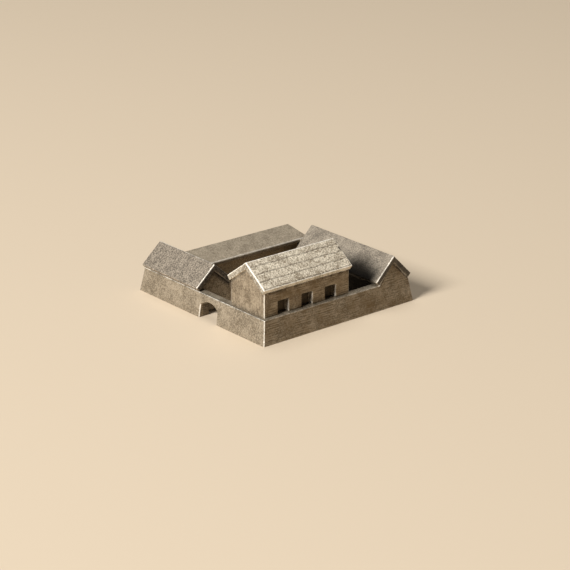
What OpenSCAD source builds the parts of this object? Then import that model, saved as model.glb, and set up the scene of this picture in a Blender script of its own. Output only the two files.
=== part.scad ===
// Game token: a walled farmstead cast in metal, in millimetres.
// The front, with the house's openings, faces -Y and the gateway faces -X.
// The origin is the middle of the footprint, on the table.

/* [Enclosure] */
// Width of the enclosure at the table, along the front
site_w = 22; // [20:0.25:26]
// Depth of the enclosure at the table, from front to back
site_d = 22.75; // [21:0.25:27]
// Height of the enclosure wall
wall_h = 2.8; // [2.4:0.05:3.4]
// How far the wall's outer face leans in between its foot and its top
wall_batter = 0.45; // [0.1:0.05:0.7]
// Width of the wall's flat top
wall_top_w = 1; // [0.8:0.05:1.4]

/* [Gateway] */
// Clear width of the gateway
gate_w = 3.05; // [2:0.05:3.6]
// Height of the arch's crown above the table
gate_crown_h = 2.08; // [1.7:0.02:2.2]
// Rise of the arch from its springing to its crown
gate_rise = 0.64; // [0.3:0.02:1]
// Distance from the front of the enclosure to the middle of the gateway
gate_pos = 9.95; // [9:0.05:10.3]

/* [Gabled roofs] */
// Thickness of a gabled roof, square to its slope
roof_t = 0.62; // [0.4:0.02:0.8]
// How far a roof stands out past a gable wall
verge = 0.24; // [0.1:0.02:0.4]

/* [House] */
// Length of the house along the front
house_len = 12.1; // [10:0.1:14]
// Depth of the house
house_d = 5.75; // [5:0.05:6.9]
// Height of the house's side walls above the enclosure wall
house_wall_h = 2.82; // [2.2:0.02:3.4]
// Pitch of the house's roof, in degrees
house_roof_angle = 36.2; // [30:0.2:44]
// Ledge left on the wall's top in front of the house
front_ledge = 0.55; // [0.2:0.05:0.7]
// Ledge left on the wall's top beside the house's gable
gable_ledge = 0.43; // [0.2:0.05:0.7]

/* [House openings] */
// Number of openings in the house's front
opening_count = 3; // [1:1:3]
// Width of an opening
opening_w = 1.58; // [1:0.02:2]
// Height of an opening above the ledge
opening_h = 1.55; // [1:0.05:2]
// Distance between the middles of two openings
opening_pitch = 3.38; // [2.6:0.02:3.8]
// Depth of the recess
opening_recess = 0.65; // [0.3:0.05:1.2]

/* [Gate barn] */
// Distance from the front of the enclosure to the barn's near gable wall
gate_barn_pos = 12.19; // [12:0.05:14]
// Width of the barn, from the wall's outer top edge to its courtyard face
gate_barn_w = 4.44; // [3.8:0.02:5.4]
// Pitch of its roof, in degrees
gate_barn_roof_angle = 41.3; // [35:0.1:48]

/* [Side barn] */
// Width of the barn, from its courtyard face to the wall's outer top edge
side_barn_w = 4.47; // [3.8:0.02:5.2]
// Length of the barn, from the wall's outer top edge to its far gable wall
side_barn_len = 14.1; // [10:0.1:16]
// Pitch of its roof, in degrees
side_barn_roof_angle = 44.9; // [38:0.1:50]

/* [Back range] */
// Depth of the range, from its courtyard face to the wall's outer top edge
range_d = 3.6; // [2.8:0.05:4.4]
// Slope of its roof, in degrees
range_roof_angle = 9.3; // [6:0.1:12]
// Thickness of its roof, square to its slope
range_roof_t = 0.5; // [0.3:0.02:0.7]
// How far its roof stands out over the courtyard
range_eave = 0.22; // [0.1:0.02:0.4]
// How far its roof stands out past the right wall's top
range_verge = 0.4; // [0.1:0.02:0.5]

/* [Hidden] */
// How far a cutting shape runs past what it cuts
through = 1;
arch_fn = 96;

wall_foot_w = wall_batter + wall_top_w;
lean = wall_batter / wall_h;

// Foot of the enclosure's outer faces
foot_x0 = -site_w / 2;
foot_x1 = site_w / 2;
foot_y0 = -site_d / 2;
foot_y1 = site_d / 2;
// Outer edges of the wall's top
top_x0 = foot_x0 + wall_batter;
top_x1 = foot_x1 - wall_batter;
top_y0 = foot_y0 + wall_batter;
top_y1 = foot_y1 - wall_batter;
// Inner faces of the wall
in_x0 = foot_x0 + wall_foot_w;
in_x1 = foot_x1 - wall_foot_w;
in_y0 = foot_y0 + wall_foot_w;
in_y1 = foot_y1 - wall_foot_w;

house_x0 = top_x0 + gable_ledge;
house_x1 = house_x0 + house_len;
house_y0 = top_y0 + front_ledge;
house_y1 = house_y0 + house_d;
house_eave_z = wall_h + house_wall_h;

gate_y = foot_y0 + gate_pos;
gate_springing_h = gate_crown_h - gate_rise;
gate_r = (pow(gate_w / 2, 2) + pow(gate_rise, 2)) / (2 * gate_rise);

gate_barn_x1 = top_x0 + gate_barn_w;
gate_barn_y0 = foot_y0 + gate_barn_pos;
gate_barn_eave_x1 = gate_barn_x1 + roof_t * sin(gate_barn_roof_angle);

side_barn_x0 = top_x1 - side_barn_w;
side_barn_y1 = top_y0 + side_barn_len;

// The range's roof rests on the inner top edge of the back wall and rises over the wall to its outer face
range_slope = tan(range_roof_angle);
range_y0 = top_y1 - range_d;
range_eave_y = range_y0 - range_eave;
range_ridge_z = (wall_h + wall_foot_w * range_slope) / (1 + lean * range_slope);
range_ridge_y = foot_y1 - lean * range_ridge_z;

stone = "dimgray";
worn_stone = "gray";
worn_tile = "darkgray";

// Height of a gable's point above its eaves
function gable_rise(span, pitch) = span / 2 * tan(pitch);

// Height of the underside of the range's roof at a depth
function range_under_z(y) = wall_h - (in_y1 - y) * range_slope;

// Triangle of a gable between two walls
function gable_outline(w0, w1, eave_z, pitch) = [
    [w0, eave_z],
    [w1, eave_z],
    [(w0 + w1) / 2, eave_z + gable_rise(w1 - w0, pitch)]
];

// Section of a slab folded over a ridge, its eaves cut square to the slope
function folded_slab(w0, w1, eave_z, pitch) =
    let (
        mid = (w0 + w1) / 2,
        peak = eave_z + gable_rise(w1 - w0, pitch),
        out = roof_t * sin(pitch),
        up = roof_t * cos(pitch)
    ) [
        [w0, eave_z],
        [w0 - out, eave_z + up],
        [mid, peak + roof_t / cos(pitch)],
        [w1 + out, eave_z + up],
        [w1, eave_z],
        [mid, peak]
    ];

// Runs a section given in Y and Z along X
module along_x(x0, x1) {
    translate([x0, 0, 0])
        rotate([90, 0, 90])
            linear_extrude(x1 - x0)
                children();
}

// Runs a section given in X and Z along Y
module along_y(y0, y1) {
    translate([0, y1, 0])
        rotate([90, 0, 0])
            linear_extrude(y1 - y0)
                children();
}

// Section of the leaning wall, its outer foot at the origin
module wall_section(height) {
    polygon([
        [0, 0],
        [lean * height, height],
        [wall_foot_w, height],
        [wall_foot_w, 0]
    ]);
}

// One side of the enclosure, mitred to its neighbours, its outer foot along the X axis
module wall_run(length) {
    intersection() {
        along_x(-length / 2, length / 2)
            wall_section(wall_h);
        linear_extrude(wall_h)
            polygon([
                [-length / 2, 0],
                [length / 2, 0],
                [length / 2 - wall_foot_w, wall_foot_w],
                [wall_foot_w - length / 2, wall_foot_w]
            ]);
    }
}

// A gable that carries the leaning wall on upwards, its outer foot along the X axis
module wall_gable(x0, x1, pitch) {
    intersection() {
        along_x(x0, x1)
            wall_section(wall_h + gable_rise(x1 - x0, pitch));
        along_y(0, wall_foot_w)
            polygon(gable_outline(x0, x1, wall_h, pitch));
    }
}

module front_wall() {
    color(stone)
        translate([0, foot_y0, 0]) {
            wall_run(site_w);
            wall_gable(side_barn_x0, top_x1, side_barn_roof_angle);
        }
}

// The arched passage, from outside the gate wall to inside it
module gateway() {
    translate([foot_x0 - through, gate_y, 0]) {
        translate([0, -gate_w / 2, -through])
            cube([wall_foot_w + 2 * through, gate_w, gate_springing_h + through]);
        intersection() {
            translate([0, -gate_w / 2, 0])
                cube([wall_foot_w + 2 * through, gate_w, gate_crown_h]);
            translate([0, 0, gate_crown_h - gate_r])
                rotate([0, 90, 0])
                    cylinder(h = wall_foot_w + 2 * through, r = gate_r, $fn = arch_fn);
        }
    }
}

module gate_wall() {
    color(stone)
        difference() {
            translate([foot_x0, 0, 0])
                rotate([0, 0, -90])
                    wall_run(site_d);
            gateway();
        }
}

// Everything above the underside of the range's roof, up to the back wall
module over_range() {
    headroom = wall_h;
    along_x(in_x1 - through, foot_x1 + through)
        polygon([
            [range_eave_y, range_under_z(range_eave_y)],
            [in_y1, wall_h],
            [in_y1, wall_h + headroom],
            [
                range_eave_y - headroom * sin(range_roof_angle),
                range_under_z(range_eave_y) + headroom * cos(range_roof_angle)
            ]
        ]);
}

module right_wall() {
    color(stone)
        difference() {
            translate([foot_x1, 0, 0])
                rotate([0, 0, 90])
                    wall_run(site_d);
            over_range();
        }
}

// The wedge of the back wall that carries the range's roof, ended by the right wall's lean
module range_bearing() {
    intersection() {
        along_x(gate_barn_x1, foot_x1)
            polygon([
                [in_y1, wall_h],
                [range_ridge_y, range_ridge_z],
                [top_y1, wall_h]
            ]);
        along_y(in_y1 - through, foot_y1 + through)
            polygon([
                [gate_barn_x1 - through, 0],
                [foot_x1, 0],
                [foot_x1 - lean * range_ridge_z, range_ridge_z],
                [gate_barn_x1 - through, range_ridge_z]
            ]);
    }
}

module back_wall() {
    color(stone) {
        translate([0, foot_y1, 0])
            rotate([0, 0, 180]) {
                wall_run(site_w);
                wall_gable(-gate_barn_x1, -top_x0, gate_barn_roof_angle);
            }
        range_bearing();
    }
}

// The part of the house above the enclosure wall, with its openings
module house_upper() {
    difference() {
        along_x(house_x0, house_x1) {
            translate([house_y0, wall_h])
                square([house_d, house_wall_h]);
            polygon(gable_outline(house_y0, house_y1, house_eave_z, house_roof_angle));
        }
        for (i = [0 : opening_count - 1]) {
            middle = (house_x0 + house_x1) / 2 + (i - (opening_count - 1) / 2) * opening_pitch;
            translate([middle - opening_w / 2, house_y0 - through, wall_h - through])
                cube([opening_w, opening_recess + through, opening_h + through]);
        }
    }
}

// The part of the house inside the enclosure wall, down to the table
module house_lower() {
    translate([in_x0, in_y0, 0])
        cube([house_x1 - in_x0, house_y1 - in_y0, wall_h]);
}

module house_walls() {
    color(worn_stone) {
        house_upper();
        house_lower();
    }
}

module house_roof() {
    color(worn_tile)
        along_x(house_x0 - verge, house_x1 + verge)
            polygon(folded_slab(house_y0, house_y1, house_eave_z, house_roof_angle));
}

module gate_barn_walls() {
    color(stone)
        along_y(gate_barn_y0, in_y1) {
            translate([in_x0, 0])
                square([gate_barn_x1 - in_x0, wall_h]);
            polygon(gable_outline(top_x0, gate_barn_x1, wall_h, gate_barn_roof_angle));
        }
}

module gate_barn_roof() {
    color(worn_stone)
        along_y(gate_barn_y0 - verge, top_y1)
            polygon(folded_slab(top_x0, gate_barn_x1, wall_h, gate_barn_roof_angle));
}

module side_barn_walls() {
    color(stone)
        along_y(in_y0, side_barn_y1) {
            translate([side_barn_x0, 0])
                square([in_x1 - side_barn_x0, wall_h]);
            polygon(gable_outline(side_barn_x0, top_x1, wall_h, side_barn_roof_angle));
        }
}

module side_barn_roof() {
    color(worn_stone)
        along_y(top_y0, side_barn_y1 + verge)
            polygon(folded_slab(side_barn_x0, top_x1, wall_h, side_barn_roof_angle));
}

module back_range_walls() {
    color(stone)
        along_x(gate_barn_x1, in_x1)
            polygon([
                [range_y0, 0],
                [range_y0, range_under_z(range_y0)],
                [in_y1, wall_h],
                [in_y1, 0]
            ]);
}

// The slab runs from the gate barn's eave to past the right wall, its back cut plumb
module back_range_roof() {
    eave_z = range_under_z(range_eave_y);
    color(worn_stone)
        along_x(gate_barn_eave_x1, top_x1 + range_verge)
            polygon([
                [range_eave_y, eave_z],
                [
                    range_eave_y - range_roof_t * sin(range_roof_angle),
                    eave_z + range_roof_t * cos(range_roof_angle)
                ],
                [range_ridge_y, range_ridge_z + range_roof_t / cos(range_roof_angle)],
                [range_ridge_y, range_ridge_z]
            ]);
}

front_wall();
gate_wall();
right_wall();
back_wall();
house_walls();
house_roof();
gate_barn_walls();
gate_barn_roof();
side_barn_walls();
side_barn_roof();
back_range_walls();
back_range_roof();
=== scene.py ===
"""Game token: a walled farmstead in antiqued metal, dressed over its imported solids.

Every piece is modelled in millimetres, in the frame of the solids, and brought to metres at the end.
"""

import logging
import math
from dataclasses import dataclass
from enum import Enum

import bmesh
import bpy
import numpy as np
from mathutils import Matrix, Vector

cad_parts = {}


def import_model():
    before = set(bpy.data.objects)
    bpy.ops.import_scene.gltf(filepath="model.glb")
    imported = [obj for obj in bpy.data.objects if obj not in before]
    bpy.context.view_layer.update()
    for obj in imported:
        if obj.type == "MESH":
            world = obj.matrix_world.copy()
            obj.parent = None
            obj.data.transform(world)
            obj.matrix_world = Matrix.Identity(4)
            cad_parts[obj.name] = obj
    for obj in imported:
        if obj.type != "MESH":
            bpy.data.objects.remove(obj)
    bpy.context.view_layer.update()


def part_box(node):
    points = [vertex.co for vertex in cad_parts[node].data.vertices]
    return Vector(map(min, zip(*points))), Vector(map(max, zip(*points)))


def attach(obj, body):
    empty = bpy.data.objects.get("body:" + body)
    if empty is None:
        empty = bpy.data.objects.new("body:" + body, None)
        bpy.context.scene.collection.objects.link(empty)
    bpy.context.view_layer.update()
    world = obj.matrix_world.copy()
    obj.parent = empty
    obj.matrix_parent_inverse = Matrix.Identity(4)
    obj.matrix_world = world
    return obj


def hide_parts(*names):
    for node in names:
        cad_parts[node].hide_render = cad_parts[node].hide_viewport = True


log = logging.getLogger("farmstead")

MM = 0.001

# Values that are stored on the points of a piece and read by its finish
# The wear holds real wear and also painted highlights, stronger on the lit side and on the right jambs of
# the openings
WEAR_AND_HIGHLIGHT = "wear_and_highlight"
# The film holds real patina in hollows and also painted shade: under the roofs, beside the house and in the
# courtyard
FILM_AND_SHADE = "film"
# The layer lines and their stain are kept to the front and back faces, which darkens those sides as painted
# shade besides the real stain
LAYERS_AND_SHADE = "layers"

# Angles from which an edge is crisp, and up to which a piece is shaded smooth
CRISP = math.radians(25)
SMOOTH = math.radians(40)

# How far a form that cuts reaches past what it cuts, in millimetres
PAST = 1.0

# Difference up to which two heights are the same, in millimetres
SAME_HEIGHT = 1e-5

# How squarely a face looks one way: where it starts to count, and where it counts in full
LINED = (0.75, 0.95)
SQUARE = (0.75, 1.0)
UPPER = (0.5, 0.75)
FASCIA = (0.3, 0.8)

Colour = tuple[float, float, float]
Point = tuple[float, float, float]
Edge = tuple[np.ndarray, np.ndarray, float]
Form = bpy.types.Object
Socket = bpy.types.NodeSocket


class Run(Enum):
    """The axis that a ridge runs along."""

    ALONG_X = 0
    ALONG_Y = 1


class Cut(Enum):
    """How one form is combined with another."""

    TAKE = "DIFFERENCE"
    ADD = "UNION"


class Bench:
    """Modelling steps that act on one object at a time, as by hand."""

    @staticmethod
    def clear() -> None:
        """Leaves edit mode and deselects everything."""
        if bpy.context.object and bpy.context.object.mode != "OBJECT":
            bpy.ops.object.mode_set(mode="OBJECT")
        bpy.ops.object.select_all(action="DESELECT")

    @staticmethod
    def take(obj: Form) -> None:
        """Selects one object alone and makes it active.

        Args:
            obj: the object.
        """
        Bench.clear()
        obj.select_set(True)
        bpy.context.view_layer.objects.active = obj

    @staticmethod
    def block(name: str, low: Point, high: Point) -> Form:
        """Adds a block between two corners.

        Args:
            name: name of the new object.
            low: lowest corner.
            high: highest corner.

        Returns:
            The block, its place in its mesh.
        """
        Bench.clear()
        middle = [(a + b) / 2 for a, b in zip(low, high)]
        bpy.ops.mesh.primitive_cube_add(size=1, location=middle)
        obj = bpy.context.object
        obj.name = name
        obj.scale = [b - a for a, b in zip(low, high)]
        bpy.ops.object.transform_apply(location=True, rotation=True, scale=True)
        return obj

    @staticmethod
    def shave(obj: Form, point: Point, normal: Point) -> None:
        """Cuts away what lies beyond a plane and closes the cut.

        Args:
            obj: object to cut.
            point: a point on the plane.
            normal: the plane's normal, towards the side that goes.
        """
        Bench.take(obj)
        bpy.ops.object.mode_set(mode="EDIT")
        bpy.ops.mesh.select_all(action="SELECT")
        bpy.ops.mesh.bisect(plane_co=point, plane_no=Vector(normal).normalized(), use_fill=True,
                            clear_outer=True)
        bpy.ops.mesh.select_all(action="SELECT")
        bpy.ops.mesh.normals_make_consistent(inside=False)
        bpy.ops.object.mode_set(mode="OBJECT")

    @staticmethod
    def combine(obj: Form, other: Form, cut: Cut) -> None:
        """Adds another form to an object or takes it away, and deletes the other form.

        Args:
            obj: object that is kept.
            other: form to add or to take away.
            cut: which of the two.
        """
        Bench.apply(obj, "BOOLEAN", operation=cut.value, object=other, solver="EXACT")
        bpy.data.objects.remove(other, do_unlink=True)

    @staticmethod
    def copy(obj: Form, name: str) -> Form:
        """Copies an object with a mesh of its own.

        Args:
            obj: object to copy.
            name: name of the copy.

        Returns:
            The copy.
        """
        twin = obj.copy()
        twin.data = obj.data.copy()
        twin.name = name
        bpy.context.collection.objects.link(twin)
        return twin

    @staticmethod
    def apply(obj: Form, kind: str, **settings: object) -> None:
        """Adds one modifier with its settings and applies it.

        Args:
            obj: object to change.
            kind: type of modifier.
            settings: values of the modifier's fields.
        """
        Bench.take(obj)
        step = obj.modifiers.new(kind.title(), kind)
        for name, value in settings.items():
            setattr(step, name, value)
        bpy.ops.object.modifier_apply(modifier=step.name)

    @staticmethod
    def finish(obj: Form) -> None:
        """Brings a piece to metres and shades it smooth.

        Args:
            obj: the piece, in millimetres.
        """
        Bench.take(obj)
        obj.scale = (MM, MM, MM)
        bpy.ops.object.transform_apply(location=True, rotation=True, scale=True)
        bpy.ops.object.shade_smooth_by_angle(angle=SMOOTH)


class Surface:
    """Reads the points of a mesh and stores values on them."""

    @staticmethod
    def rows(items: bpy.types.bpy_prop_collection, name: str) -> np.ndarray:
        """Reads a vector from each of a mesh's points or faces.

        Args:
            items: the points or faces.
            name: name of the vector.

        Returns:
            The vectors, one row each.
        """
        values = np.empty(len(items) * 3)
        items.foreach_get(name, values)
        return values.reshape(-1, 3)

    @staticmethod
    def points(obj: Form) -> np.ndarray:
        """Returns the points, one row each."""
        return Surface.rows(obj.data.vertices, "co")

    @staticmethod
    def normals(obj: Form) -> np.ndarray:
        """Returns the normals at the points, one row each."""
        return Surface.rows(obj.data.vertices, "normal")

    @staticmethod
    def move(obj: Form, points: np.ndarray) -> None:
        """Puts the points at new places."""
        obj.data.vertices.foreach_set("co", points.ravel())
        obj.data.update()

    @staticmethod
    def ramp(values: np.ndarray, none: float, whole: float) -> np.ndarray:
        """Turns values into shares, from 0 at one of two bounds to 1 at the other."""
        return np.clip((values - none) / (whole - none), 0, 1)

    @staticmethod
    def read(obj: Form, name: str) -> np.ndarray:
        """Reads the values stored under a name.

        Args:
            obj: the mesh.
            name: name of the attribute.

        Returns:
            One value for each point, zero if nothing is stored.
        """
        values = np.zeros(len(obj.data.vertices), dtype=np.float32)
        layer = obj.data.attributes.get(name)
        if layer:
            layer.data.foreach_get("value", values)
        return values

    @staticmethod
    def store(obj: Form, name: str, values: np.ndarray) -> None:
        """Stores one value at each point under a name, over what is there.

        Args:
            obj: the mesh.
            name: name of the attribute.
            values: one value for each point.
        """
        layer = obj.data.attributes.get(name)
        if not layer:
            layer = obj.data.attributes.new(name, "FLOAT", "POINT")
        layer.data.foreach_set("value", values.astype(np.float32))

    @staticmethod
    def lift(obj: Form, name: str, values: np.ndarray) -> None:
        """Stores values under a name wherever they are above what is there."""
        Surface.store(obj, name, np.maximum(Surface.read(obj, name), values))

    @staticmethod
    def fade(obj: Form, name: str, share: np.ndarray) -> None:
        """Takes a share off the values under a name."""
        Surface.store(obj, name, Surface.read(obj, name) * (1 - share))


@dataclass(frozen=True)
class Weathering:
    """How a cast form is softened and roughened, in millimetres.

    Attributes:
        edge: radius of a worn edge.
        voxel: size of the fine mesh.
        swell: height of the slow unevenness of the casting.
        swell_size: its size.
        grain: height of the fine grain.
        grain_size: its size.
        rub: how far from an edge the metal is rubbed bright.
        flat: share of an edge's radius that is rubbed evenly.
        even: how much an edge is rubbed that faces across the lit, handled side.
        turned: how much more it is rubbed where it faces that side, which brightens the lit edges as
            painted highlight.
        level_dull: how much less a level edge is rubbed than a steep one.
        crest: how much more a ridge is rubbed than another edge.
        least: how much the least rubbed edge is rubbed.
        rubbed_and_lit_from: side that is handled most, which is also the side the light falls from.
        ground: height below which an edge stands on the table and isn't rubbed.
        underside: an edge that faces further down isn't rubbed.
        ridge: a level edge that faces further up is a ridge.
        level: rise up to which an edge is level.
        merge: distance up to which points are one.
    """

    edge: float = 0.10
    voxel: float = 0.07
    swell: float = 0.03
    swell_size: float = 1.6
    grain: float = 0.03
    grain_size: float = 0.28
    rub: float = 0.14
    flat: float = 0.4
    even: float = 0.4
    turned: float = 0.85
    level_dull: float = 0.42
    crest: float = 0
    least: float = 0.2
    rubbed_and_lit_from: Point = (-1.0, -0.8, 0.7)
    ground: float = 0.05
    underside: float = -0.1
    ridge: float = 0.95
    level: float = 0.01
    merge: float = 1e-4

    def age(self, obj: Form) -> None:
        """Rounds the edges of a plain form, meshes it finely and roughens it.

        Args:
            obj: the plain form.
        """
        edges = self._crisp_edges(obj)
        Bench.apply(obj, "BEVEL", width=self.edge, segments=3, limit_method="ANGLE", angle_limit=CRISP,
                    use_clamp_overlap=True)
        Bench.apply(obj, "REMESH", mode="VOXEL", voxel_size=self.voxel)
        self._mark_wear_and_highlight(obj, edges)
        self._mark_layers_and_shade(obj)
        self._roughen(obj, "swell", self.swell, self.swell_size)
        self._roughen(obj, "grain", self.grain, self.grain_size)

    def _crisp_edges(self, obj: Form) -> list[Edge]:
        """Finds the outward edges of a plain form.

        Args:
            obj: the form, before it is rounded.

        Returns:
            The two ends of each edge and how much it is rubbed and highlighted.
        """
        towards = Vector(self.rubbed_and_lit_from).normalized()
        form = bmesh.new()
        form.from_mesh(obj.data)
        bmesh.ops.remove_doubles(form, verts=form.verts, dist=self.merge)
        found = []
        for edge in form.edges:
            raised = max(v.co.z for v in edge.verts) > self.ground
            if not raised or not edge.is_convex or edge.calc_face_angle(0) < CRISP:
                continue
            facing = (edge.link_faces[0].normal + edge.link_faces[1].normal).normalized()
            if facing.z <= self.underside:
                continue
            share = self.even + self.turned * facing.dot(towards)
            start, end = (np.array(v.co) for v in edge.verts)
            if abs(start[2] - end[2]) < self.level:
                share += self.crest if facing.z > self.ridge else -self.level_dull
            found.append((start, end, min(max(share, self.least), 1.0 + self.crest)))
        form.free()
        return found

    def _mark_wear_and_highlight(self, obj: Form, edges: list[Edge]) -> None:
        """Stores how near each point is to an outward edge.

        Args:
            obj: the fine mesh.
            edges: the plain form's outward edges and how much each is rubbed and highlighted.
        """
        points = Surface.points(obj)
        wear_and_highlight = np.zeros(len(points))
        for start, end, share in edges:
            along = end - start
            place = np.clip((points - start) @ along / (along @ along), 0, 1)
            gap = np.linalg.norm(points - start - place[:, None] * along, axis=1)
            wear_and_highlight = np.maximum(wear_and_highlight, share - np.maximum(gap - self.flat * self.edge, 0) / self.rub)
        Surface.store(obj, WEAR_AND_HIGHLIGHT, wear_and_highlight)

    def _mark_layers_and_shade(self, obj: Form) -> None:
        """Stores where the level lines of the casting's pattern and their stain are laid: on the front and
        back faces alone, which also darkens those sides as painted shade.
        """
        facing = np.abs(Surface.normals(obj)[:, 1])
        Surface.store(obj, LAYERS_AND_SHADE, Surface.ramp(facing, *LINED))

    def _roughen(self, obj: Form, name: str, height: float, size: float) -> None:
        """Moves the surface in and out by a cloud texture.

        Args:
            obj: the fine mesh.
            name: name of the texture.
            height: full height of the relief.
            size: size of its bumps.
        """
        clouds = bpy.data.textures.new(f"{obj.name}_{name}", "CLOUDS")
        clouds.noise_scale = size
        clouds.noise_depth = 2
        Bench.apply(obj, "DISPLACE", texture=clouds, texture_coords="LOCAL", mid_level=0.5, strength=height)


class Wiring:
    """The nodes of one material, on the piece's own coordinates."""

    def __init__(self, material: bpy.types.Material) -> None:
        """Starts from a material's own shader.

        Args:
            material: the new material.
        """
        material.use_nodes = True
        self.tree = material.node_tree
        self.shader = self.tree.nodes["Principled BSDF"]
        self.place = self.add("TexCoord", {}).outputs["Object"]

    def fill(self, node: bpy.types.Node, inputs: dict[str | int, object]) -> None:
        """Links sockets to a node's inputs, or sets their values.

        Args:
            node: the node.
            inputs: a socket or a value for each input, by its name or number.
        """
        for key, value in inputs.items():
            if isinstance(value, Socket):
                self.tree.links.new(value, node.inputs[key])
            else:
                node.inputs[key].default_value = value

    def add(self, kind: str, inputs: dict[str | int, object], **settings: str) -> bpy.types.Node:
        """Adds a node.

        Args:
            kind: type of the node.
            inputs: a socket or a value for each input, by its name or number.
            settings: values of the node's fields.

        Returns:
            The node.
        """
        node = self.tree.nodes.new(f"ShaderNode{kind}")
        for name, value in settings.items():
            setattr(node, name, value)
        self.fill(node, inputs)
        return node

    def attribute(self, name: str) -> Socket:
        """Reads a value that is stored on the piece's points."""
        return self.add("Attribute", {}, attribute_name=name).outputs["Fac"]

    def noise(self, size: float, detail: float = 3, stretch: float = 1, swirl: float = 0) -> Socket:
        """Adds a noise.

        Args:
            size: its size, in millimetres.
            detail: its number of finer levels.
            stretch: how much longer it is along the level than upwards.
            swirl: how far it is drawn out of shape.

        Returns:
            The noise's output.
        """
        across = size * MM * stretch
        scale = self.add("Mapping", {"Vector": self.place, "Scale": (across, across, size * MM)},
                         vector_type="TEXTURE")
        noise = self.add("TexNoise", {"Vector": scale.outputs["Vector"], "Scale": 1, "Detail": detail,
                                      "Roughness": 0.7, "Distortion": swirl})
        return noise.outputs["Fac"]

    def bands(self, step: float) -> Socket:
        """Adds level bands that wander a little.

        Args:
            step: distance between two bands, in millimetres.

        Returns:
            The bands' output.
        """
        bands = self.add("TexWave", {"Vector": self.place, "Scale": math.pi / (10 * step * MM),
                                     "Distortion": 2.0, "Detail": 2, "Detail Scale": 0.3},
                         bands_direction="Z")
        return bands.outputs["Fac"]

    def product(self, one: Socket, other: Socket) -> Socket:
        """Multiplies two outputs."""
        return self.add("Math", {0: one, 1: other}, operation="MULTIPLY").outputs[0]

    def sum(self, start: float, terms: list[tuple[Socket, float]]) -> Socket:
        """Adds up outputs, each times its weight.

        Args:
            start: value that the sum starts from.
            terms: outputs and their weights.

        Returns:
            The sum's output.
        """
        total = start
        for socket, weight in terms:
            total = self.add("Math", {0: socket, 1: weight, 2: total}, operation="MULTIPLY_ADD").outputs[0]
        return total

    def mix(self, share: Socket, under: Socket, over: Colour) -> Socket:
        """Lays a plain colour over another by a share."""
        return self.add("Mix", {"Factor": share, 6: under, 7: (*over, 1)}, data_type="RGBA").outputs[2]

    def ramp(self, value: Socket, stops: list[tuple[float, Colour]]) -> Socket:
        """Adds a colour ramp with two stops.

        Args:
            value: where the ramp is read.
            stops: place and colour of each stop.

        Returns:
            The ramp's colour.
        """
        ramp = self.add("ValToRGB", {"Fac": value})
        for element, (position, colour) in zip(ramp.color_ramp.elements, stops):
            element.position = position
            element.color = (*colour, 1)
        return ramp.outputs["Color"]


@dataclass(frozen=True)
class Patches:
    """A slow change of strength over the metal.

    Attributes:
        size: size of a patch, in millimetres.
        detail: number of finer levels.
        start: strength where the noise is 0.
        gain: how much is added where the noise is 1.
    """

    size: float
    detail: float
    start: float
    gain: float

    def wire(self, wiring: Wiring, share: float = 1) -> Socket:
        """Returns the strength, times a share."""
        noise = wiring.noise(self.size, self.detail)
        return wiring.sum(self.start * share, [(noise, self.gain * share)])


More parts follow.
